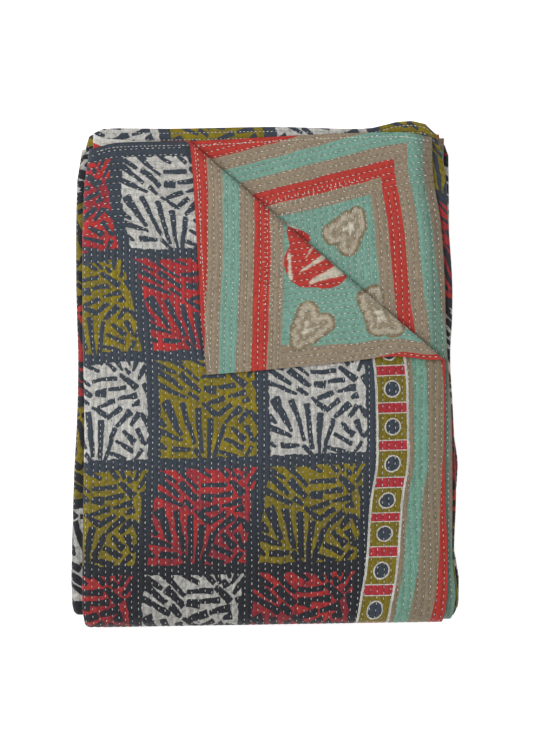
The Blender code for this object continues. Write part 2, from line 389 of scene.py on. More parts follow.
# The prints have shifted in the wash and on the block table: how far sideways the blocks
# have moved, where their rows fall, and the count of the side border's discs
Drift = namedtuple("Drift", "along sideways row disc")
DRIFTS = (
    Drift(0, 42, 0, -7.2),
    Drift(16, 41, 16, -6.8),
    Drift(60, 38, 61, -5.6),
    Drift(112, 27, 114.4, -4.2),
    Drift(165, 13, 168.7, -2.76),
    Drift(217, 5, 221.9, -1.36),
    Drift(267.4, 1, 271.1, 0),
    Drift(305.8, 0, 308.2, 1),
    Drift(343.1, 0, 344.0, 2),
    Drift(380.4, 6, 381.1, 3),
    Drift(413.5, 10, 413.9, 4),
    Drift(450.9, 14, 450.9, 5),
    Drift(490.3, 19, 490.3, 6),
    Drift(600, 22, 600, 8.95),
    Drift(QUILT_LENGTH, 0, QUILT_LENGTH, 47.3),
)

# The cloth was pieced from two widths, and the blocks of the far one are out of step
Shift = namedtuple("Shift", "across sideways row")
SHIFTS = (
    Shift(0, 0, 0),
    Shift(550, 0, 0),
    Shift(575, 26, 266),
    Shift(1440, 26, 266),
    Shift(QUILT_WIDTH, 0, 266),
)

# The backing's frame of bands isn't square to the hems: how far it leans at the head hem,
# and how much of it the two side hems have taken up
Lean = namedtuple("Lean", "across skew")
LEANS = (
    Lean(0, 21),
    Lean(50, 15),
    Lean(115, 8.5),
    Lean(200, 3.5),
    Lean(1269, -2.3),
    Lean(QUILT_WIDTH, 46.5),
)
Trim = namedtuple("Trim", "along red_end taupe_end far_trim")
TRIMS = (
    Trim(0, -2, 28, 23),
    Trim(64, -2, 27.5, 23.5),
    Trim(97, -2, 21.5, 24),
    Trim(147, -2, 17.6, 26),
    Trim(168, 0, 18.5, 28),
    Trim(200, 5, 20, 32),
    Trim(237, 6, 16, 32),
    Trim(377, 6, 16, 30),
    Trim(490, 6, 16, 38),
    Trim(1500, 6, 16, 30),
    Trim(1540, -12, 8, 30),
    Trim(QUILT_LENGTH, -12, 8, 30),
)
RED_BAND_END = 82.0
INNER_TAUPE = 14.0
FOOT_TRIM = 20.0


def straight(table, column, at):
    """A table's column at these distances, on straight lines between its rows."""
    return np.interp(at, [row[0] for row in table], [getattr(row, column) for row in table])


def frame_distances(across, along):
    """How far in from the backing's printed edge a point lies, sideways and lengthways."""
    red_end, taupe_end = straight(TRIMS, "red_end", along), straight(TRIMS, "taupe_end", along)
    near = RED_BAND_END + INNER_TAUPE * (across - red_end) / (taupe_end - red_end)
    far = QUILT_WIDTH - across + straight(TRIMS, "far_trim", along)
    from_head = along + straight(LEANS, "skew", across)
    sideways = np.where(across < QUILT_WIDTH / 2, near, far)
    return sideways, np.where(along < QUILT_LENGTH / 2, from_head, QUILT_LENGTH - along + FOOT_TRIM)


def add_map(piece, name, first, second):
    """A UV map that holds two flat distances, in millimetres, for each point."""
    corners = np.empty(len(piece.data.loops), int)
    piece.data.loops.foreach_get("vertex_index", corners)
    layer = piece.data.uv_layers.new(name=name, do_init=False)
    layer.uv.foreach_set("vector", np.stack([first, second], -1)[corners].astype(np.float32).ravel())


block_x = across - read(DRIFTS, "sideways", along) - straight(SHIFTS, "sideways", across)
block_y = read(DRIFTS, "row", along) + straight(SHIFTS, "row", across)
add_map(quilt, "cloth", across, along)
add_map(quilt, "blocks", block_x, block_y)
add_map(quilt, "discs", block_x, read(DRIFTS, "disc", along))
add_map(quilt, "frame", *frame_distances(across, along))

# Where the rows run lengthways the cloth is thin under each row. In the head border they
# run across, so there it is of one middling thickness, and the material draws its rows.
HEAD_BORDER = 96.0
BORDER_THICKNESS = 0.88
_, from_head = frame_distances(across, along)
row_place = (across / ROW_PITCH) % 1
under_row = np.abs(row_place - FIRST_ROW / ROW_PITCH) < 0.1
puff = np.random.default_rng(3).uniform(*THICKNESS_BETWEEN, len(across))
thickness = np.where(under_row, THIN_AT_ROW, puff)
quilted_finely = across < ACROSS_LEG + ACROSS_BENDS[0]
thickness = np.where((from_head < HEAD_BORDER) | ~quilted_finely, BORDER_THICKNESS, thickness)
swell_group = quilt.vertex_groups.new(name="swell")
for level in np.unique(thickness.round(2)):
    swell_group.add(np.flatnonzero(thickness.round(2) == level).tolist(), float(level), "REPLACE")

bpy.ops.object.select_all(action="DESELECT")
quilt.select_set(True)
bpy.context.view_layer.objects.active = quilt


def linear(code):
    """A colour's linear values, from its sRGB hex code."""
    parts = [int(code[i : i + 2], 16) / 255 for i in (1, 3, 5)]
    return (*(c / 12.92 if c <= 0.04045 else ((c + 0.055) / 1.055) ** 2.4 for c in parts), 1.0)


def add(tree, kind, feeds=(), out=0, **settings):
    """Adds a node with its settings and feeds, and returns one of its outputs.

    The feeds are values or other nodes' outputs, in the order of the sockets or by socket.
    """
    node = tree.nodes.new(f"ShaderNode{kind}")
    for name, value in settings.items():
        setattr(node, name, value)
    for socket, value in (feeds if isinstance(feeds, dict) else dict(enumerate(feeds))).items():
        if isinstance(value, bpy.types.NodeSocket):
            tree.links.new(value, node.inputs[socket])
        else:
            node.inputs[socket].default_value = value
    return node.outputs[out]


def banded(colour, stops, how="CONSTANT"):
    """Gives a colour ramp its stops, which are (place from 0 to 1, sRGB hex) pairs."""
    bands = colour.node.color_ramp
    bands.interpolation = how
    while len(bands.elements) < len(stops):
        bands.elements.new(1.0)
    for element, (place, code) in zip(bands.elements, stops):
        element.position = place
        element.color = linear(code)
    return colour


def wander(tree, point, size, reach):
    """The point moved about by noise, so that printed edges aren't ruled.

    Here as in every material, the noise is scaled by 1 over its lumps' size in millimetres.
    """
    lumps = add(tree, "TexNoise", {"Vector": point, "Scale": 1 / size, "Detail": 2.0}, out=1)
    centred = add(tree, "VectorMath", (lumps, (0.5, 0.5, 0.5)), operation="SUBTRACT")
    return add(
        tree,
        "VectorMath",
        (centred, (2 * reach, 2 * reach, 0), point),
        operation="MULTIPLY_ADD",
    )


def stroke_distance(tree, point, strokes):
    """Distance to the nearest of some tapered strokes with round ends."""
    nearest = None
    for x, y, end_x, end_y, radius, end_radius in strokes:
        run = np.array((end_x - x, end_y - y))
        share_along = (*(run / (run @ run)), 0)
        away = add(tree, "VectorMath", (point, (x, y, 0)), operation="SUBTRACT")
        share = add(tree, "VectorMath", (away, share_along), out=1, operation="DOT_PRODUCT")
        share = add(tree, "Math", (share, 0.0), operation="ADD", use_clamp=True)
        back = add(tree, "VectorMath", {0: (*(-run), 0), 3: share}, operation="SCALE")
        off_line = add(tree, "VectorMath", (away, back), operation="ADD")
        length = add(tree, "VectorMath", (off_line,), out=1, operation="LENGTH")
        width = add(tree, "Math", (share, end_radius - radius, radius), operation="MULTIPLY_ADD")
        distance = add(tree, "Math", (length, width), operation="SUBTRACT")
        nearest = distance if nearest is None else add(
            tree, "Math", (nearest, distance), operation="MINIMUM"
        )
    return nearest


def slot_distance(tree, point, slots, unit):
    """Distance to the nearest of some tapered slots with blunt ends, on a chart of this unit."""
    nearest = None
    for slot in slots:
        run = np.array((slot.end_x - slot.x, slot.end_y - slot.y)) * unit
        length = np.linalg.norm(run)
        run /= length
        middle = ((slot.x + slot.end_x) / 2 * unit, (slot.y + slot.end_y) / 2 * unit, 0)
        widening = (slot.end_breadth - slot.breadth) * unit / 2 / length
        half_breadth = (slot.end_breadth + slot.breadth) * unit / 4 + SPREAD
        away = add(tree, "VectorMath", (point, middle), operation="SUBTRACT")
        along_slot = add(
            tree, "VectorMath", (away, (*run, 0)), out=1, operation="DOT_PRODUCT"
        )
        off_line = add(
            tree, "VectorMath", (away, (-run[1], run[0], 0)), out=1, operation="DOT_PRODUCT"
        )
        edge = add(
            tree, "Math", (along_slot, widening, half_breadth), operation="MULTIPLY_ADD"
        )
        off_line = add(tree, "Math", (off_line,), operation="ABSOLUTE")
        past_side = add(tree, "Math", (off_line, edge), operation="SUBTRACT")
        from_middle = add(tree, "Math", (along_slot,), operation="ABSOLUTE")
        past_end = add(tree, "Math", (from_middle, length / 2), operation="SUBTRACT")
        distance = add(
            tree, "Math", (past_side, past_end, SLOT_ROUNDING), operation="SMOOTH_MAX"
        )
        nearest = distance if nearest is None else add(
            tree, "Math", (nearest, distance), operation="MINIMUM"
        )
    return nearest


def new_material(name, roughness, sheen):
    material = bpy.data.materials.new(name)
    material.use_nodes = True
    shader = material.node_tree.nodes["Principled BSDF"]
    shader.inputs["Roughness"].default_value = roughness
    shader.inputs["Sheen Weight"].default_value = sheen
    shader.inputs["Sheen Roughness"].default_value = 0.5
    shader.inputs["Specular IOR Level"].default_value = 0.25
    return material, material.node_tree, shader


# Washed cotton, plain woven from threads 0.35 mm apart. The weave is drawn at 0.9 mm, so
# that it shows at arm's length, and the colour is worn in flecks along the threads.
WEAVE_PITCH = 0.9
FLECK_DEPTH = 0.85
# How much painted shade darkens the cloth along each row of stitches, where it dips
PAINTED_ROW_SHADE = 0.22
COTTON_ROUGHNESS = 0.9
COTTON_SHEEN = 0.12


def stitch_rows(tree, cloth_map, frame_map):
    """1 half-way between the rows of stitches and -1 under a row, all over the cloth."""
    from_head = add(tree, "SeparateXYZ", {0: frame_map}, out=1)
    from_side = add(tree, "SeparateXYZ", {0: cloth_map}, out=0)
    turns = 2 * math.pi / ROW_PITCH
    side_turns = add(tree, "Math", (from_side, turns), operation="MULTIPLY")
    lengthways = add(tree, "Math", (side_turns,), operation="COSINE")
    head_turns = add(tree, "Math", (from_head, turns), operation="MULTIPLY")
    crossways = add(tree, "Math", (head_turns,), operation="COSINE")
    in_border = add(tree, "Math", (from_head, HEAD_BORDER), operation="LESS_THAN")
    gap = add(tree, "Math", (crossways, lengthways), operation="SUBTRACT")
    return add(tree, "Math", (gap, in_border, lengthways), operation="MULTIPLY_ADD")


def woven(tree, shader, cloth_map, frame_map, colour):
    """Ends a cotton's material: thread flecks and painted shade along the stitch rows in its colour, and
    its weave and rows as bump.
    """
    rows = stitch_rows(tree, cloth_map, frame_map)
    threads = []
    for stretch in ((1.0, 0.12, 1.0), (0.12, 1.0, 1.0)):
        drawn = add(tree, "VectorMath", (cloth_map, stretch), operation="MULTIPLY")
        threads.append(
            add(tree, "TexNoise", {"Vector": drawn, "Scale": 1 / WEAVE_PITCH, "Detail": 1.0})
        )
    flecks = add(tree, "Math", threads, operation="ADD")
    cloudy = add(tree, "TexNoise", {"Vector": cloth_map, "Scale": 1 / 38.0, "Detail": 3.0})
    worn = add(tree, "Math", (flecks, FLECK_DEPTH, 1 - FLECK_DEPTH), operation="MULTIPLY_ADD")
    cloudy = add(tree, "Math", (cloudy, 0.3, 0.85), operation="MULTIPLY_ADD")
    worn = add(tree, "Math", (worn, cloudy), operation="MULTIPLY")
    # Painted shade along the stitch rows, where the cloth dips under the thread
    shaded_row_line = add(
        tree,
        "MapRange",
        {"Value": rows, "From Min": -0.55, "From Max": -1.0},
        interpolation_type="SMOOTHSTEP",
    )
    painted_row_shade = add(tree, "Math", (shaded_row_line, -PAINTED_ROW_SHADE, 1.0), operation="MULTIPLY_ADD")
    worn = add(tree, "Math", (worn, painted_row_shade), operation="MULTIPLY")
    toned = add(tree, "VectorMath", {0: colour, 3: worn}, operation="SCALE")
    tree.links.new(toned, shader.inputs["Base Color"])

    turns = 2 * math.pi / WEAVE_PITCH
    waves = add(tree, "VectorMath", (cloth_map, (turns, turns, 0)), operation="MULTIPLY")
    split = add(tree, "SeparateXYZ", {0: waves}).node
    weft = add(tree, "Math", (split.outputs[0],), operation="SINE")
    warp = add(tree, "Math", (split.outputs[1],), operation="SINE")
    weave = add(tree, "Math", (weft, warp), operation="MULTIPLY")
    pulled = add(tree, "VectorMath", (cloth_map, (0.5, 0.22, 1.0)), operation="MULTIPLY")
    crinkle = add(tree, "TexNoise", {"Vector": pulled, "Scale": 1.0, "Detail": 3.0})
    puckers = add(tree, "TexNoise", {"Vector": cloth_map, "Scale": 1 / 5.5, "Detail": 1.0})
    weave = add(tree, "Math", (weave, 0.04), operation="MULTIPLY")
    relief = add(tree, "Math", (crinkle, 0.9, weave), operation="MULTIPLY_ADD")
    relief = add(tree, "Math", (puckers, 1.2, relief), operation="MULTIPLY_ADD")
    relief = add(tree, "Math", (rows, 0.2, relief), operation="MULTIPLY_ADD")
    bump = add(tree, "Bump", {"Strength": 1.0, "Distance": MM, "Height": relief})
    tree.links.new(bump, shader.inputs["Normal"])


# The face cotton: squares of a cut coral pattern in red, olive and off-white, block-printed
# on navy in columns 115 mm apart. The wood block's edge is uneven and its ink is ragged.
NAVY, DEEP_NAVY, OFF_WHITE, OLIVE, RED = "#394049", "#24262B", "#BEBCB5", "#7B6D10", "#B32F2D"
MUSTARD, WINE = "#8A7A12", "#902A33"
COLUMN_PITCH, ROW_OF_BLOCKS = 115.0, 109.0
BLOCK_WIDTH, BLOCK_HEIGHT = 102.0, 98.5
BORDER_WIDTH = 82.0
FIRST_ROW_OF_BLOCKS = 15.0
EVEN_COLUMN = (RED, OLIVE, OFF_WHITE, OLIVE)
ODD_COLUMN = (OFF_WHITE, RED, OLIVE, RED)
INK_DRIFT = {RED: WINE, OLIVE: MUSTARD, OFF_WHITE: "#C2C0BA"}

# Cuts of the block, on a chart of 24 units a side: the two ends, and the breadth at each
Cut = namedtuple("Cut", "x y end_x end_y breadth end_breadth")
CHART = 24
SPREAD, SPREAD_AT_FOOT = 0.4, 0.7
SLOT_ROUNDING = 2.4
CUTS = (
    Cut(0, 22.4, 3.9, 20.2, 1, 1),
    Cut(-0.3, 21, 5.5, 16.6, 1.2, 1.1),
    Cut(-0.3, 17.4, 6.6, 14.2, 1, 0.9),
    Cut(4.6, 22.9, 9.9, 18.4, 0.9, 0.8),
    Cut(5.3, 19.9, 9.9, 15.8, 1.2, 1.6),
    Cut(7.1, 15.5, 9.3, 13.8, 0.9, 1),
    Cut(9.6, 23.2, 12.9, 21.2, 1.2, 0.5),
    Cut(3.2, 24.4, 6.2, 22.6, 1, 0.7),
    Cut(8.4, 24.6, 10.2, 23.6, 0.9, 0.7),
    Cut(1.2, 13.4, 5, 5.8, 1.9, 1.2),
    Cut(5.4, 12.9, 8.4, 3.6, 1.1, 1.2),
    Cut(9.2, 11.9, 10.3, 1.5, 1.1, 1.4),
    Cut(12.4, 9.5, 12.1, 0.2, 1.2, 1),
    Cut(15.7, 7.8, 13.1, -0.4, 0.9, 1.1),
    Cut(0.2, 6.3, 5, 4.4, 1.3, 0.8),
    Cut(2.6, 2.4, 6.8, 2.2, 1.1, 1.1),
    Cut(8.2, 2.2, 10.4, -0.4, 0.8, 1.2),
    Cut(-0.4, 9.2, 1.3, 7.7, 1.4, 0.8),
    Cut(-0.4, 3.3, 1.1, 2.2, 1.1, 0.6),
    Cut(11.1, 19, 17, 19.2, 1.1, 0.9),
    Cut(11.5, 16.1, 14.2, 15.9, 1.9, 1.6),
    Cut(15, 16.5, 19, 16.8, 1.1, 1),
    Cut(12, 12.7, 16.1, 13.9, 1.2, 1),
    Cut(17.2, 14.1, 21.6, 15.1, 0.7, 1.1),
    Cut(10.6, 12.7, 13.9, 10.2, 0.8, 1.1),
    Cut(14.2, 10.1, 17.6, 12.3, 1.3, 0.9),
    Cut(16.2, 8.3, 20, 11.5, 1.1, 1.3),
    Cut(19.7, 8.3, 21.9, 11, 1.2, 1.1),
    Cut(17.9, 19.9, 21.6, 16.6, 1.3, 1.4),
    Cut(20.6, 12.9, 22.2, 13.5, 0.8, 1.3),
    Cut(23.3, 17.8, 24.3, 15, 0.9, 1.2),
    Cut(22.4, 10.5, 24.4, 8, 1, 1.5),
    Cut(21.2, 7.5, 22.7, 4, 1, 1.1),
    Cut(17.9, 6.7, 20.8, 3.9, 1, 1.3),
    Cut(16.1, 4.2, 20.4, 1.9, 1, 0.9),
    Cut(14.5, 1.4, 18.7, 0, 1.1, 0.8),
    Cut(21.1, 0.4, 22.7, 2.4, 0.8, 0.9),
    Cut(14.9, 23, 17, 21.1, 1, 0.8),
    Cut(17, 24.2, 18.3, 21.4, 0.9, 0.7),
    Cut(19.4, 21.4, 20.2, 20.1, 0.7, 1),
    Cut(20, 24.3, 20.3, 22.6, 0.9, 0.6),
    Cut(21.3, 21, 22.5, 23.9, 0.8, 1.1),
    Cut(22.4, 18.9, 24.4, 22, 0.8, 1.1),
    Cut(12.4, 24.4, 13.8, 22.9, 1.2, 0.7),
    Cut(23.2, 3.6, 24.5, 5, 0.7, 1.1),
)

# Each cut is narrow at its inner end, by the block's stem or the foot of its fan, and wide at
# its outer one, where it opens into the navy if the block's edge is near
STEM, FAN = 10.5, 0.5
INNER_TAPER, OUTER_TAPER, INNER_REACH = 0.68, 1.25, 0.45
EDGE_NEAR, PAST_EDGE, STEEPEST = 1.9, 0.5, 0.3


def opened(cut):
    """The cut narrowed at its inner end, and open to the block's edge where that is near."""
    ends = np.array((cut.x, cut.y)), np.array((cut.end_x, cut.end_y))
    breadths = cut.breadth, cut.end_breadth
    from_stem = [abs(x - STEM) + FAN * y for x, y in ends]
    first = 0 if from_stem[0] < from_stem[1] else 1
    inner, outer = ends[first], ends[1 - first]
    outward = (outer - inner) / np.linalg.norm(outer - inner)
    to_edge = np.where(outward > 0, CHART - outer, -outer)
    gaps = [gap / share for gap, share in zip(to_edge, outward) if abs(share) > STEEPEST]
    if 0 < min(gaps) < EDGE_NEAR:
        outer = outer + outward * (min(gaps) + PAST_EDGE)
    inner = inner - outward * INNER_REACH
    return Cut(*inner, *outer, breadths[first] * INNER_TAPER, breadths[1 - first] * OUTER_TAPER)


# The side border, counted in from the hem: bands, then olive cells with discs and red bars
TEAL, TAUPE, STRIPE_RED = "#6C9583", "#80745F", "#A4322B"
CELL_OLIVE, BAR_RED = "#72651C", "#A22F36"
TAUPE_END, TEAL_END, SECOND_TAUPE_END = 17.5, 32.5, 37.0
CELLS_START, CELLS_END, WHITE_LINE = 40.0, 69.5, 3.0
DISC_PITCH, DISC_RADIUS, DISC_RIM = 37.15, 7.2, 1.4
BAR_HALF_HEIGHT, BAR_RIM = 4.6, 1.0

# Block-printed cotton: matt, with ragged ink that lets the navy through, and worn threads
face_print, tree, shader = new_material("block_printed_cotton", COTTON_ROUGHNESS, COTTON_SHEEN)
cloth_map = add(tree, "UVMap", uv_map="cloth")
blocks_map = add(tree, "UVMap", uv_map="blocks")
discs_map = add(tree, "UVMap", uv_map="discs")
loose = wander(tree, blocks_map, 24.0, 2.4)
ragged = wander(tree, wander(tree, loose, 8.0, 1.3), 1.8, 0.4)
point = add(tree, "SeparateXYZ", {0: ragged}).node
column = add(
    tree,
    "Math",
    (add(tree, "Math", (point.outputs[0], BORDER_WIDTH), operation="SUBTRACT"), COLUMN_PITCH),
    operation="DIVIDE",
)
row = add(
    tree,
    "Math",
    (
        add(tree, "Math", (point.outputs[1], FIRST_ROW_OF_BLOCKS), operation="SUBTRACT"),
        ROW_OF_BLOCKS,
    ),
    operation="DIVIDE",
)
in_column = add(tree, "Math", (column,), operation="FRACT")
in_column = add(tree, "Math", (in_column, COLUMN_PITCH), operation="MULTIPLY")
in_row = add(tree, "Math", (row,), operation="FRACT")
in_row = add(tree, "Math", (in_row, ROW_OF_BLOCKS), operation="MULTIPLY")
chart_x = add(tree, "Math", (BLOCK_WIDTH, in_column), operation="SUBTRACT")
chart_y = add(tree, "Math", (BLOCK_HEIGHT, in_row), operation="SUBTRACT")
chart_point = add(tree, "CombineXYZ", {0: chart_x, 1: chart_y})
cut_unit = BLOCK_WIDTH / CHART
cuts = [opened(cut) for cut in CUTS]
clear_of_cuts = slot_distance(tree, chart_point, cuts, cut_unit)
# Near the foot the printer pressed less, so there the cuts have spread
depth_of_dye = add(
    tree,
    "MapRange",
    {
        "Value": add(tree, "SeparateXYZ", {0: blocks_map}, out=1),
        "From Min": 300.0,
        "From Max": 470.0,
    },
    interpolation_type="SMOOTHSTEP",
)
clear_of_cuts = add(
    tree, "Math", (depth_of_dye, -SPREAD_AT_FOOT, clear_of_cuts), operation="MULTIPLY_ADD"
)
nearest_side = add(tree, "Math", (chart_x, chart_y), operation="MINIMUM")
nearest_side = add(
    tree,
    "Math",
    (nearest_side, add(tree, "Math", (in_column, in_row), operation="MINIMUM")),
    operation="MINIMUM",
)
chewed = add(
    tree,
    "Math",
    (add(tree, "TexNoise", {"Vector": loose, "Scale": 1 / 6.5, "Detail": 1.0}), -5.0, 2.2),
    operation="MULTIPLY_ADD",
)
inside = add(
    tree,
    "Math",
    (add(tree, "Math", (nearest_side, chewed), operation="ADD"), clear_of_cuts),
    operation="MINIMUM",
)
inside = add(
    tree,
    "Math",
    (
        inside,
        add(tree, "Math", (point.outputs[1], FIRST_ROW_OF_BLOCKS), operation="SUBTRACT"),
    ),
    operation="MINIMUM",
)
past_border = add(tree, "Math", (point.outputs[0], BORDER_WIDTH), operation="SUBTRACT")
before_border = add(
    tree, "Math", (QUILT_WIDTH - BORDER_WIDTH, point.outputs[0]), operation="SUBTRACT"
)
inside = add(
    tree,
    "Math",
    (inside, add(tree, "Math", (past_border, before_border), operation="MINIMUM")),
    operation="MINIMUM",
)
inked = add(
    tree,
    "MapRange",
    {"Value": inside, "From Min": -0.35, "From Max": 0.35},
    interpolation_type="SMOOTHSTEP",
)

parity = add(tree, "Math", (column,), operation="FLOOR")
parity = add(tree, "Math", (parity, 2.0), operation="FLOORED_MODULO")
turn_of_colour = add(tree, "Math", (row,), operation="FLOOR")
turn_of_colour = add(tree, "Math", (turn_of_colour, 4.0), operation="FLOORED_MODULO")
choice = add(tree, "Math", (parity, 4.0, turn_of_colour), operation="MULTIPLY_ADD")
choice = add(tree, "Math", (choice, 0.5), operation="ADD")
choice = add(tree, "Math", (choice, 8.0), operation="DIVIDE")
inks = EVEN_COLUMN + ODD_COLUMN
ink = banded(add(tree, "ValToRGB", (choice,)), [(i / 8, code) for i, code in enumerate(inks)])
other_inks = [(i / 8, INK_DRIFT[code]) for i, code in enumerate(inks)]
other_ink = banded(add(tree, "ValToRGB", (choice,)), other_inks)
ink_patches = add(tree, "TexNoise", {"Vector": loose, "Scale": 1 / 34.0, "Detail": 3.0})
ink_patches = add(
    tree,
    "MapRange",
    {"Value": ink_patches, "From Min": 0.4, "From Max": 0.65},
    interpolation_type="SMOOTHSTEP",
)
ink = add(tree, "Mix", {0: ink_patches, 6: ink, 7: other_ink}, out=2, data_type="RGBA")
# The ink lies thin in places and lets the navy through, and the navy is deeper at the foot
ink_cover = add(
    tree,
    "MapRange",
    {
        "Value": add(tree, "TexNoise", {"Vector": loose, "Scale": 1 / 5.0, "Detail": 6.0}),
        "From Min": 0.3,
        "From Max": 0.6,
    },
    interpolation_type="SMOOTHSTEP",
)
thinnest = add(tree, "Math", (depth_of_dye, -0.2, 0.62), operation="MULTIPLY_ADD")
ink_cover = add(
    tree,
    "Math",
    (inked, add(tree, "Math", (ink_cover, 0.36, thinnest), operation="MULTIPLY_ADD")),
    operation="MULTIPLY",
)
ground = add(
    tree,
    "Mix",
    {0: depth_of_dye, 6: linear(NAVY), 7: linear(DEEP_NAVY)},
    out=2,
    data_type="RGBA",
)
blocks = add(tree, "Mix", {0: ink_cover, 6: ground, 7: ink}, out=2, data_type="RGBA")

# Border bands by their distance from the nearer side hem
waved = wander(tree, wander(tree, blocks_map, 30.0, 1.0), 3.0, 0.7)
wavy = add(tree, "SeparateXYZ", {0: waved}).node
from_hem = add(
    tree,
    "Math",
    (
        wavy.outputs[0],
        add(tree, "Math", (QUILT_WIDTH, wavy.outputs[0]), operation="SUBTRACT"),
    ),
    operation="MINIMUM",
)
# The ramp of bands runs from well outside the hem, where the print may have moved to
OUTSIDE_HEM, RAMP_SPAN = 60.0, 160.0
hem_share = add(tree, "Math", (from_hem, OUTSIDE_HEM), operation="ADD")
hem_share = add(tree, "Math", (hem_share, RAMP_SPAN), operation="DIVIDE")
band_starts = (
    (-OUTSIDE_HEM, TAUPE),
    (TAUPE_END, TEAL),
    (TEAL_END, TAUPE),
    (SECOND_TAUPE_END, OFF_WHITE),
    (CELLS_START, CELL_OLIVE),
    (CELLS_END, OFF_WHITE),
    (CELLS_END + WHITE_LINE, NAVY),
)
bands = banded(
    add(tree, "ValToRGB", (hem_share,)),
    [((OUTSIDE_HEM + start) / RAMP_SPAN, code) for start, code in band_starts],
)
# A red band along the side hem is wide at the foot, narrow above, and wide at the crease
LEAST_RED, RED_WIDENS_PAST, RED_WIDENING = 1.2, 330.0, 0.072
RED_AT_CREASE, RED_NARROWING = 24.0, 0.085
flat_place = add(tree, "SeparateXYZ", {0: cloth_map}).node
flat_x, wavy_along = flat_place.outputs[0], flat_place.outputs[1]
red_edge = add(
    tree,
    "Math",
    (wavy_along, RED_WIDENING, LEAST_RED - RED_WIDENS_PAST * RED_WIDENING),
    operation="MULTIPLY_ADD",
)
red_edge = add(tree, "Math", (red_edge, LEAST_RED), operation="MAXIMUM")
by_crease = add(
    tree, "Math", (wavy_along, -RED_NARROWING, RED_AT_CREASE), operation="MULTIPLY_ADD"
)
red_edge = add(tree, "Math", (red_edge, by_crease), operation="MAXIMUM")
bands = add(
    tree,
    "Mix",
    {
        0: add(tree, "Math", (flat_x, red_edge), operation="LESS_THAN"),
        6: bands,
        7: linear(STRIPE_RED),
    },
    out=2,
    data_type="RGBA",
)

disc_count = add(tree, "SeparateXYZ", {0: discs_map}, out=1)
disc_place = add(tree, "Math", (disc_count, 0.5), operation="ADD")
disc_place = add(tree, "Math", (disc_place,), operation="FRACT")
disc_y = add(tree, "Math", (disc_place, 0.5), operation="SUBTRACT")
disc_y = add(tree, "Math", (disc_y, DISC_PITCH), operation="MULTIPLY")
disc_x = add(tree, "Math", (from_hem, (CELLS_START + CELLS_END) / 2), operation="SUBTRACT")
disc_far = add(
    tree,
    "VectorMath",
    (wander(tree, add(tree, "CombineXYZ", {0: disc_x, 1: disc_y}), 4.0, 0.5),),
    out=1,
    operation="LENGTH",
)
CELL_SPAN = 20.0
disc_edges = ((0.0, NAVY), (DISC_RADIUS, OFF_WHITE), (DISC_RADIUS + DISC_RIM, CELL_OLIVE))
disc_share = add(tree, "Math", (disc_far, CELL_SPAN), operation="DIVIDE")
disc = banded(
    add(tree, "ValToRGB", (disc_share,)),
    [(edge / CELL_SPAN, code) for edge, code in disc_edges],
)
bar_y = add(tree, "Math", (disc_y,), operation="ABSOLUTE")
bar_y = add(tree, "Math", (DISC_PITCH / 2, bar_y), operation="SUBTRACT")
bar_y = add(tree, "Math", (bar_y,), operation="ABSOLUTE")
bar_edges = (
    (0.0, BAR_RED),
    (BAR_HALF_HEIGHT, OFF_WHITE),
    (BAR_HALF_HEIGHT + BAR_RIM, CELL_OLIVE),
)
bar_share = add(tree, "Math", (bar_y, CELL_SPAN), operation="DIVIDE")
bar = banded(
    add(tree, "ValToRGB", (bar_share,)),
    [(edge / CELL_SPAN, code) for edge, code in bar_edges],
)
near_bar = add(tree, "Math", (bar_y, BAR_HALF_HEIGHT + BAR_RIM), operation="LESS_THAN")
cells = add(tree, "Mix", {0: near_bar, 6: disc, 7: bar}, out=2, data_type="RGBA")
in_cells = add(
    tree,
    "Math",
    (add(tree, "Math", (disc_x,), operation="ABSOLUTE"), (CELLS_END - CELLS_START) / 2),
    operation="LESS_THAN",
)
bands = add(tree, "Mix", {0: in_cells, 6: bands, 7: cells}, out=2, data_type="RGBA")
in_border = add(tree, "Math", (from_hem, CELLS_END + WHITE_LINE), operation="LESS_THAN")
printed = add(tree, "Mix", {0: in_border, 6: blocks, 7: bands}, out=2, data_type="RGBA")
# At the head hem the red backing is rolled over to the face, on the half by the side hem
turned_over = add(
    tree,
    "Math",
    (wavy_along, add(tree, "Math", (flat_x, -0.011, 3.4), operation="MULTIPLY_ADD")),
    operation="LESS_THAN",
)
printed = add(
    tree, "Mix", {0: turned_over, 6: printed, 7: linear(STRIPE_RED)}, out=2, data_type="RGBA"
)
woven(tree, shader, cloth_map, add(tree, "UVMap", uv_map="frame"), printed)

# The backing cotton: a frame of red, taupe and teal bands around a teal field, on which
# hearts and shell-shaped flowers are painted in cream and red with a dry brush.
CREAM, DULL_CREAM, BROWN_SHADE, HIGHLIGHT = "#AAA08B", "#8E826C", "#7E7159", "#C6BEAB"
BACKING_TEAL, BACKING_TAUPE, BACKING_RED = "#72998A", "#8E7F6B", "#AE3830"
BANDS = (
    (0, BACKING_RED),
    (18, BACKING_TAUPE),
    (33, BACKING_TEAL),
    (50, BACKING_TAUPE),
    (65.5, BACKING_RED),
    (RED_BAND_END, BACKING_TAUPE),
)
FIELD_START = RED_BAND_END + INNER_TAUPE

SELVAGE_MIDDLE, SELVAGE_REACH = 1180.0, 52.0
# Painted shade by the far side hem: where it begins, where it is full, how strong it is, and its brown
PAINTED_SHADE_FROM, PAINTED_SHADE_BY = QUILT_WIDTH - 22, QUILT_WIDTH - 12
PAINTED_SHADE_DEPTH, PAINTED_SHADE_BROWN = 0.38, "#4A453C"

# Hearts, each of three strokes from its body to its two lobes and its tip, in flat
# millimetres from the near side hem or, where far is 1, from the far one
Heart = namedtuple("Heart", "far x y lobe_x lobe_y other_x other_y tip_x tip_y")
HEARTS = (
    Heart(0, 37, 104, 58, 108, 44, 123, 25, 95),
    Heart(0, 46, 179, 32, 191, 34, 176, 66, 167),
    Heart(1, 97, 95, 118, 103, 102, 115, 90, 84),
    Heart(1, 86, 182, 76, 168, 72, 190, 104, 196),
)
HEART_BODY, HEART_LOBE, HEART_TIP = 16.5, 12.0, 9.5

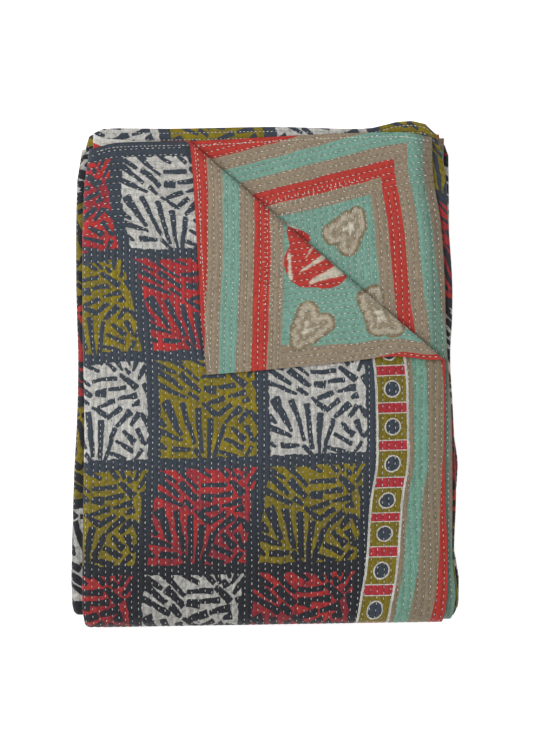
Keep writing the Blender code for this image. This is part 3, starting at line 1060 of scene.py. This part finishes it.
# Flowers: a red shell with a neck, and the white petals on it, also in flat millimetres
Petal = namedtuple("Petal", "x y end_x end_y radius end_radius")
SHELL = (Petal(112, 117, 106, 130, 29.5, 25), Petal(118, 108, 148, 98, 13, 5))
FAR_SHELL = (Petal(178, 92, 149, 106, 8, 6),)
PETALS = (
    Petal(124, 93, 96, 93, 1.6, 2.8),
    Petal(117, 110, 127, 118, 0.5, 1.6),
    Petal(102, 104, 115, 128, 0.8, 3.0),
    Petal(91, 114, 99, 144, 2.6, 6.5),
)
FAR_PETALS = (Petal(169, 91, 152, 95, 2.0, 2.4),)

# Screen-printed cotton: flat, even bands, and motifs with the drag of a dry brush in them
backing_print, tree, shader = new_material("screen_printed_cotton", COTTON_ROUGHNESS, COTTON_SHEEN)
cloth_map = add(tree, "UVMap", uv_map="cloth")
frame_map = add(tree, "UVMap", uv_map="frame")
uneven = add(tree, "SeparateXYZ", {0: wander(tree, wander(tree, frame_map, 45.0, 2.4), 4.0, 0.6)}).node
from_edge = add(tree, "Math", (uneven.outputs[0], uneven.outputs[1]), operation="MINIMUM")
FRAME_SPAN = 120.0
stops = [(place / FRAME_SPAN, code) for place, code in (*BANDS, (FIELD_START, BACKING_TEAL))]
edge_share = add(tree, "Math", (from_edge, FRAME_SPAN), operation="DIVIDE")
framed = banded(add(tree, "ValToRGB", (edge_share,)), stops)

ragged = wander(tree, wander(tree, cloth_map, 16.0, 1.8), 3.0, 0.6)
mirrored = add(
    tree, "VectorMath", (ragged, (-1, 1, 1), (QUILT_WIDTH, 0, 0)), operation="MULTIPLY_ADD"
)
heart_far = []
for side, side_point in enumerate((ragged, mirrored)):
    strokes = []
    for heart in HEARTS:
        if heart.far == side:
            body = (heart.x, heart.y)
            strokes += [
                (*body, heart.lobe_x, heart.lobe_y, HEART_BODY, HEART_LOBE),
                (*body, heart.other_x, heart.other_y, HEART_BODY, HEART_LOBE),
                (*body, heart.tip_x, heart.tip_y, HEART_BODY, HEART_TIP),
            ]
    heart_far.append(stroke_distance(tree, side_point, strokes))
to_heart = add(tree, "Math", heart_far, operation="MINIMUM")
HEART_SPAN, BRUSH_REACH = 16.0, 12.0
brush_strokes = add(tree, "VectorMath", (cloth_map, (1.0, 0.35, 1.0)), operation="MULTIPLY")
brushed = add(tree, "TexNoise", {"Vector": brush_strokes, "Scale": 1 / 5.0, "Detail": 5.0})
into_heart = add(tree, "Math", (to_heart, -1.0), operation="MULTIPLY")
heart_depth = add(tree, "Math", (brushed, 0.5), operation="SUBTRACT")
heart_depth = add(
    tree, "Math", (heart_depth, BRUSH_REACH, into_heart), operation="MULTIPLY_ADD"
)
heart_depth = add(tree, "Math", (heart_depth, HEART_SPAN), operation="DIVIDE")
heart_paint = banded(
    add(tree, "ValToRGB", (heart_depth,)),
    [
        (0.1, BROWN_SHADE),
        (0.3, CREAM),
        (0.45, CREAM),
        (0.62, DULL_CREAM),
        (0.75, DULL_CREAM),
        (0.95, HIGHLIGHT),
    ],
    "EASE",
)
painted = add(
    tree,
    "Mix",
    {
        0: add(
            tree,
            "MapRange",
            {"Value": to_heart, "From Min": 0.5, "From Max": -0.5},
            interpolation_type="SMOOTHSTEP",
        ),
        6: framed,
        7: heart_paint,
    },
    out=2,
    data_type="RGBA",
)

to_shell = stroke_distance(tree, ragged, SHELL), stroke_distance(tree, mirrored, FAR_SHELL)
to_shell = add(tree, "Math", to_shell, operation="MINIMUM")
to_petal = stroke_distance(tree, ragged, PETALS), stroke_distance(tree, mirrored, FAR_PETALS)
to_petal = add(tree, "Math", to_petal, operation="MINIMUM")
petal_cover = add(
    tree,
    "Math",
    (brushed, 3.0, add(tree, "Math", (to_petal, -0.6), operation="MULTIPLY")),
    operation="MULTIPLY_ADD",
)
petal_cover = add(
    tree,
    "MapRange",
    {"Value": petal_cover, "From Min": 0.9, "From Max": 2.6},
    interpolation_type="SMOOTHSTEP",
)
flower = add(
    tree,
    "Mix",
    {0: petal_cover, 6: linear(BACKING_RED), 7: linear(HIGHLIGHT)},
    out=2,
    data_type="RGBA",
)
painted = add(
    tree,
    "Mix",
    {
        0: add(
            tree,
            "MapRange",
            {"Value": to_shell, "From Min": 0.4, "From Max": -0.4},
            interpolation_type="SMOOTHSTEP",
        ),
        6: painted,
        7: flower,
    },
    out=2,
    data_type="RGBA",
)
# A pale selvage shows along the head hem of the far width
flat_place = add(tree, "SeparateXYZ", {0: cloth_map}).node
at_hem = add(tree, "Math", (flat_place.outputs[1], 9.0), operation="LESS_THAN")
on_width = add(
    tree, "Math", (flat_place.outputs[0], SELVAGE_MIDDLE, SELVAGE_REACH), operation="COMPARE"
)
painted = add(
    tree,
    "Mix",
    {
        0: add(tree, "Math", (at_hem, on_width), operation="MULTIPLY"),
        6: painted,
        7: linear(OFF_WHITE),
    },
    out=2,
    data_type="RGBA",
)
# Painted shade: the backing is darkened toward brown along the far side hem
painted_shade = add(
    tree,
    "Math",
    (
        add(
            tree,
            "MapRange",
            {"Value": flat_place.outputs[0], "From Min": PAINTED_SHADE_FROM, "From Max": PAINTED_SHADE_BY},
            interpolation_type="SMOOTHSTEP",
        ),
        PAINTED_SHADE_DEPTH,
    ),
    operation="MULTIPLY",
)
painted = add(
    tree, "Mix", {0: painted_shade, 6: painted, 7: linear(PAINTED_SHADE_BROWN)}, out=2, data_type="RGBA"
)
woven(tree, shader, cloth_map, frame_map, painted)

quilt.data.materials.clear()
quilt.data.materials.append(face_print)
quilt.data.materials.append(backing_print)
shell = quilt.modifiers.new("two_cottons", "SOLIDIFY")
shell.thickness = CLOTH_THICKNESS * MM
shell.offset = 0.0
shell.vertex_group = "swell"
shell.material_offset = 1
shell.material_offset_rim = 0
bpy.ops.object.modifier_apply(modifier="two_cottons")
bpy.ops.object.shade_smooth_by_angle(angle=math.radians(60))
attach(quilt, "root")
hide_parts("quilt")

# THE RUNNING STITCHES
# Thick white cotton thread, sewn by hand through both cottons in rows 6.9 mm apart. Each
# stitch rises from the cloth, lies over it for 3 mm and dives again. Only those on the
# outside of the packet are made, each a copy of one modelled stitch.
STITCH_PITCH = 6.1
STITCH_LENGTH = 2.7
STITCH_BREADTH = 0.85
STITCH_RISE = 0.75
THREAD, OLD_THREAD = "#DDD9D0", "#ADA89D"
GREYED_THREAD, DYED_THREAD = "#D6D3CD", "#94949A"
THREAD_ROUGHNESS, THREAD_SHEEN = 0.75, 0.1

# Close stitches shut the head hem, and ticks across the inner bands hold a mended join
HEM_SEAM = 4.6
SEAM_PITCH = 4.4
SEAM_MARGIN = 4.0
TICK_PITCH = 5.2
TICK_LINES = (77.5, 83.5, 94.0)

# No stitch lies nearer to the head hem than this
FIRST_STITCH = 2.5

# Soft-spun cotton quilting thread, matt and a little fuzzy, paler and duller in patches 4 mm
# long. The dye of the dark print has greyed the thread that lies on it.
Thread = namedtuple("Thread", "name dull pale pale_from")
THREADS = (
    Thread("cotton_quilting_thread", OLD_THREAD, THREAD, 0.6),
    Thread("thread_greyed_by_dye", DYED_THREAD, GREYED_THREAD, 0.65),
)
DULL_BELOW, PATCH_LENGTH = 0.35, 0.004
thread_materials = []
for thread in THREADS:
    material, tree, shader = new_material(thread.name, THREAD_ROUGHNESS, THREAD_SHEEN)
    point = add(tree, "TexCoord", out=3)
    tone = add(tree, "TexNoise", {"Vector": point, "Scale": 1 / PATCH_LENGTH, "Detail": 2.0})
    stops = [(DULL_BELOW, thread.dull), (thread.pale_from, thread.pale)]
    thread_colour = banded(add(tree, "ValToRGB", (tone,)), stops, "LINEAR")
    tree.links.new(thread_colour, shader.inputs["Base Color"])
    thread_materials.append(material)
white_thread, greyed_thread = thread_materials

bpy.ops.object.select_all(action="DESELECT")
bpy.ops.mesh.primitive_uv_sphere_add(segments=6, ring_count=4, radius=0.5, rotation=(0, math.pi / 2, 0))
pattern = bpy.context.object
bpy.ops.object.transform_apply(location=False, rotation=True, scale=False)
bpy.ops.object.mode_set(mode="EDIT")
bpy.ops.transform.resize(value=(STITCH_LENGTH, STITCH_BREADTH, STITCH_RISE))
bpy.ops.object.mode_set(mode="OBJECT")
stitch_points = np.array([tuple(vertex.co) for vertex in pattern.data.vertices])
stitch_faces = [tuple(face.vertices) for face in pattern.data.polygons]
bpy.data.objects.remove(pattern)
rng = np.random.default_rng(11)


def half_thickness(across, along):
    """Half the cloth's thickness under a stitch."""
    _, from_head = frame_distances(across, along)
    in_rows = (from_head >= HEAD_BORDER) & (across < ACROSS_LEG + ACROSS_BENDS[0])
    return CLOTH_THICKNESS / 2 * np.where(in_rows, THIN_AT_ROW, BORDER_THICKNESS)


def sewn(name, across, along, lengthways, side, stretch, thread):
    """Joins a stitch at each of these flat places, on the face (1) or the backing (-1)."""
    lean = rng.normal(0, 0.06, len(across))
    run_across = np.where(lengthways, np.sin(lean), np.cos(lean))
    run_along = np.where(lengthways, np.cos(lean), np.sin(lean))
    middle = folded(across, along)
    step = 0.5
    forward = folded(across + run_across * step, along + run_along * step) - middle
    forward /= np.linalg.norm(forward, axis=-1, keepdims=True)
    to_left = folded(across - run_along * step, along + run_across * step) - middle
    up = np.cross(forward, to_left)
    up /= np.linalg.norm(up, axis=-1, keepdims=True)
    side = np.broadcast_to(side, across.shape)[:, None]
    up = up * side
    sideways = np.cross(up, forward)
    lift = (half_thickness(across, along) + 0.12)[:, None]
    centre = middle + up * lift - middle_of_packet
    breadth = rng.uniform(0.85, 1.12, len(across))
    height = rng.uniform(0.85, 1.1, len(across))
    local = stitch_points[None] * np.stack([stretch, breadth, height], -1)[:, None]
    turned = [local[..., i : i + 1] * axis[:, None] for i, axis in enumerate((forward, sideways, up))]
    points = centre[:, None] + sum(turned)
    mesh = bpy.data.meshes.new(name)
    count = len(stitch_points)
    faces = [tuple(c + i * count for c in face) for i in range(len(across)) for face in stitch_faces]
    mesh.from_pydata((points.reshape(-1, 3) * MM).tolist(), [], faces)
    mesh.shade_smooth()
    mesh.materials.append(thread)
    piece = bpy.data.objects.new(name, mesh)
    bpy.context.collection.objects.link(piece)
    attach(piece, "root")
    return piece


def rows_of_stitches(first, last, start, end):
    """Flat places of stitches in rows that run lengthways, between these distances."""
    rows = np.arange(FIRST_ROW + math.ceil((first - FIRST_ROW) / ROW_PITCH) * ROW_PITCH, last, ROW_PITCH)
    count = int((end - start) / STITCH_PITCH)
    across, turn = np.meshgrid(rows, np.arange(count))
    phase = (rows * 2.39) % STITCH_PITCH
    along = start + phase + turn * STITCH_PITCH + rng.normal(0, 0.35, across.shape)
    drift = 0.35 * np.sin(along / 47 + rows * 1.7)
    return (across + drift).ravel(), along.ravel()


def border_rows_of_stitches(first, last, deepest):
    """Flat places of stitches in the head border's rows, which run across."""
    rows = np.arange(FIRST_ROW, deepest, ROW_PITCH)
    count = int((last - first) / STITCH_PITCH)
    row, turn = np.meshgrid(rows, np.arange(count))
    phase = (rows * 3.1) % STITCH_PITCH
    across = first + phase + turn * STITCH_PITCH + rng.normal(0, 0.35, row.shape)
    along = row - straight(LEANS, "skew", across) + 0.35 * np.sin(across / 41 + row)
    return across.ravel(), along.ravel()


def hem_seam(first, last):
    """Distances across of the small close stitches that close the head hem."""
    even = np.arange(first + SEAM_MARGIN, last - SEAM_MARGIN, SEAM_PITCH)
    return even + rng.normal(0, 0.3, len(even))


def mending(first, last):
    """Flat places of the ticks that run over the inner bands of the head border."""
    count = int((last - first) / TICK_PITCH)
    line, turn = np.meshgrid(TICK_LINES, np.arange(count))
    across = first + turn * TICK_PITCH + rng.normal(0, 0.7, line.shape)
    along = line - straight(LEANS, "skew", across) + rng.normal(0, 0.7, line.shape)
    return across.ravel(), along.ravel()


def past_crease(across, along):
    """How far beyond the crease of the turned-back corner a flat point of the top layer lies."""
    x = across_ends(along)[0]
    x = x[0] + (x[1] - x[0]) * across / ACROSS_LEG
    y = along_ends(across, x)[0]
    y = y[0] + (y[1] - y[0]) * along / ALONG_LEG
    return (x - CREASE_START[0]) * crease_out[0] + (y - CREASE_START[1]) * crease_out[1]


def under_corner(x, y):
    """Whether the turned-back corner covers these places on the layer that it lies on."""
    tip = folded(0.0, 0.0)[:2]
    start, end = CREASE_START, CREASE_END
    inside = np.ones(np.shape(x), bool)
    for first, second in ((start, tip), (tip, end), (end, start)):
        edge = second - first
        inside &= edge[0] * (y - first[1]) - edge[1] * (x - first[0]) >= 0
    return inside


def lengths(count):
    """How much longer or shorter than the pattern each stitch is."""
    return rng.normal(1.0, 0.1, count).clip(0.7, 1.3)


# The face's stitches: the top, round the folds, and the underside
flat_across, flat_along = rows_of_stitches(0, ACROSS_LEG + ACROSS_BENDS[0], 0, ALONG_LEG + ALONG_BENDS[0])
_, from_head = frame_distances(flat_across, flat_along)
keep = (from_head > HEAD_BORDER + 2) & (flat_along < ALONG_LEG + ALONG_BENDS[0])
not_turned = past_crease(flat_across, flat_along) < -CREASE_ROLL
keep &= (flat_across > ACROSS_LEG) | (flat_along > ALONG_LEG) | not_turned
place = folded(flat_across, flat_along)
keep &= ~under_corner(place[:, 0], place[:, 1]) | (flat_along > ALONG_LEG)
top_lengthways = flat_across[keep], flat_along[keep]
flat_across, flat_along = border_rows_of_stitches(0, ACROSS_LEG + ACROSS_BENDS[0], HEAD_BORDER)
not_turned = past_crease(flat_across, flat_along) < -CREASE_ROLL
keep = (flat_along > FIRST_STITCH) & (not_turned | (flat_across > ACROSS_LEG))
place = folded(flat_across, flat_along)
keep &= ~under_corner(place[:, 0], place[:, 1])
seam_across = hem_seam(0, ACROSS_LEG)
seam = past_crease(seam_across, np.full(len(seam_across), HEM_SEAM)) < -CREASE_ROLL
seam_places = seam_across[seam], np.full(seam.sum(), HEM_SEAM)
top_groups = (top_lengthways, (flat_across[keep], flat_along[keep]), seam_places)
both = [np.concatenate(places) for places in zip(*top_groups)]
runs_lengthways = np.arange(len(both[0])) < len(top_lengthways[0])
top_stitches = sewn("face_stitches", *both, runs_lengthways, 1, lengths(len(both[0])), greyed_thread)

UNDERSIDE_END = 1035.0
outer_fold = ACROSS_LEG + ACROSS_BENDS[0]
flat_across, flat_along = rows_of_stitches(0, outer_fold, ALONG_LEG + ALONG_BENDS[0], UNDERSIDE_END)
under_stitches = sewn(
    "underside_stitches", flat_across, flat_along, True, 1, lengths(len(flat_across)), greyed_thread
)

# The folds' stitches on the lower strips, at the left and the right of the packet
last_stitch = QUILT_LENGTH - SEAM_MARGIN
flat_across, flat_along = rows_of_stitches(ACROSS_LEG, outer_fold, UNDERSIDE_END, last_stitch)
right_fold = 2 * ACROSS_LEG + ACROSS_BENDS[0]
under_leg = right_fold + ACROSS_BENDS[1]
more_across, more_along = rows_of_stitches(right_fold - 2, under_leg, SEAM_MARGIN, last_stitch)
flat_across = np.concatenate([flat_across, more_across])
flat_along = np.concatenate([flat_along, more_along])
folds = len(flat_across)

# Two rows along the head hem of the layer under the top one, which stands out beyond it
for along in (HEM_SEAM, HEM_SEAM + ROW_PITCH):
    seam_across = hem_seam(under_leg, under_leg + ACROSS_LEG)
    flat_across = np.append(flat_across, seam_across)
    flat_along = np.append(flat_along, np.full(len(seam_across), along))
count = len(flat_across)
fold_stitches = sewn(
    "fold_stitches", flat_across, flat_along, np.arange(count) < folds, 1, lengths(count), greyed_thread
)

# The backing's stitches: on the turned-back corner, and on the layer beneath it
flat_across, flat_along = rows_of_stitches(0, ACROSS_LEG, 0, ALONG_LEG)
_, from_head = frame_distances(flat_across, flat_along)
keep = (from_head > HEAD_BORDER + 2) & (past_crease(flat_across, flat_along) > CREASE_ROLL)
near = flat_across[keep], flat_along[keep] + STITCH_PITCH / 2
flat_across, flat_along = border_rows_of_stitches(0, ACROSS_LEG, HEAD_BORDER)
keep = (flat_along > FIRST_STITCH) & (past_crease(flat_across, flat_along) > CREASE_ROLL)
near_border = flat_across[keep] + STITCH_PITCH / 2, flat_along[keep]
flat_across, flat_along = mending(66, ACROSS_LEG)
keep = past_crease(flat_across, flat_along) > CREASE_ROLL
near_mending = flat_across[keep], flat_along[keep]
seam_across = hem_seam(0, ACROSS_LEG)
seam_along = np.full(len(seam_across), HEM_SEAM)
keep = past_crease(seam_across, seam_along) > CREASE_ROLL
near_seam = seam_across[keep], seam_along[keep]
last_leg = QUILT_WIDTH - ACROSS_LEG


def shows_beyond_corner(across, along):
    place = folded(across, along)
    out = (place[:, 0] - CREASE_START[0]) * crease_out[0] + (place[:, 1] - CREASE_START[1]) * crease_out[1]
    hem = read(SIDES, "top_hem", np.clip(along, 0, ALONG_LEG))
    return (out > -2) | (place[:, 0] > hem - 3)


flat_across, flat_along = rows_of_stitches(last_leg, QUILT_WIDTH - 2, 0, ALONG_LEG)
_, from_head = frame_distances(flat_across, flat_along)
keep = (from_head > HEAD_BORDER + 2) & shows_beyond_corner(flat_across, flat_along)
beneath = flat_across[keep], flat_along[keep]
flat_across, flat_along = border_rows_of_stitches(last_leg, QUILT_WIDTH - 2, HEAD_BORDER)
keep = (flat_along > FIRST_STITCH) & shows_beyond_corner(flat_across, flat_along)
beneath_border = flat_across[keep], flat_along[keep]
flat_across, flat_along = mending(last_leg, QUILT_WIDTH - 76)
keep = shows_beyond_corner(flat_across, flat_along)
beneath_mending = flat_across[keep], flat_along[keep]
beneath_seam = hem_seam(last_leg, QUILT_WIDTH)
beneath_seam = beneath_seam, np.full(len(beneath_seam), HEM_SEAM)
groups = (
    near,
    near_border,
    near_mending,
    near_seam,
    beneath,
    beneath_border,
    beneath_mending,
    beneath_seam,
)
both = [np.concatenate(pair) for pair in zip(*groups)]
runs_lengthways = np.concatenate([np.full(len(g[0]), i % 2 == 0) for i, g in enumerate(groups)])
backing_stitches = sewn("backing_stitches", *both, runs_lengthways, -1, lengths(len(both[0])), white_thread)
for stitched in (top_stitches, under_stitches, fold_stitches, backing_stitches):
    print(stitched.name, len(stitched.data.vertices) // len(stitch_points), "stitches")

# THE FLOOR AND THE LIGHT
# A plain pale table that the packet lies on, lit from within as a photographer's is, and
# wide soft studio light from above and all around, which leaves next to no shadow.
FLOOR_SIZE = 6.0
TABLE_GLOW = 0.6
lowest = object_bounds()[0][2]
bpy.ops.object.select_all(action="DESELECT")
bpy.ops.mesh.primitive_plane_add(size=FLOOR_SIZE, location=(0, 0, lowest - 0.05 * MM))
floor = bpy.context.object
floor.name = "floor"
# Seamless white background paper, matt and evenly lit, which gives the photo's blank white
paper, tree, shader = new_material("white_paper", 0.95, 0.0)
shader.inputs["Base Color"].default_value = linear("#FBFBFA")
shader.inputs["Emission Color"].default_value = (1, 1, 1, 1)
shader.inputs["Emission Strength"].default_value = TABLE_GLOW
floor.data.materials.append(paper)

world = bpy.data.worlds.new("studio")
bpy.context.scene.world = world
world.use_nodes = True
world.node_tree.nodes["Background"].inputs["Color"].default_value = (1, 1, 1, 1)
world.node_tree.nodes["Background"].inputs["Strength"].default_value = 0.6

Lamp = namedtuple("Lamp", "name place size watts")
LAMPS = (
    Lamp("key", (-1.7, 0.5, 1.5), 1.0, 34.0),
    Lamp("fill", (1.4, -0.6, 2.1), 1.8, 5.0),
)
for lamp in LAMPS:
    bpy.ops.object.light_add(type="AREA", location=lamp.place)
    light = bpy.context.object
    light.name = lamp.name
    light.data.size = lamp.size
    light.data.energy = lamp.watts
    aim = np.array(lamp.place)
    light.rotation_euler = (
        math.atan2(math.hypot(aim[0], aim[1]), aim[2]),
        0,
        math.atan2(aim[1], aim[0]) + math.pi / 2,
    )

bpy.context.scene.view_settings.view_transform = "Standard"
bpy.context.scene.view_settings.look = "None"
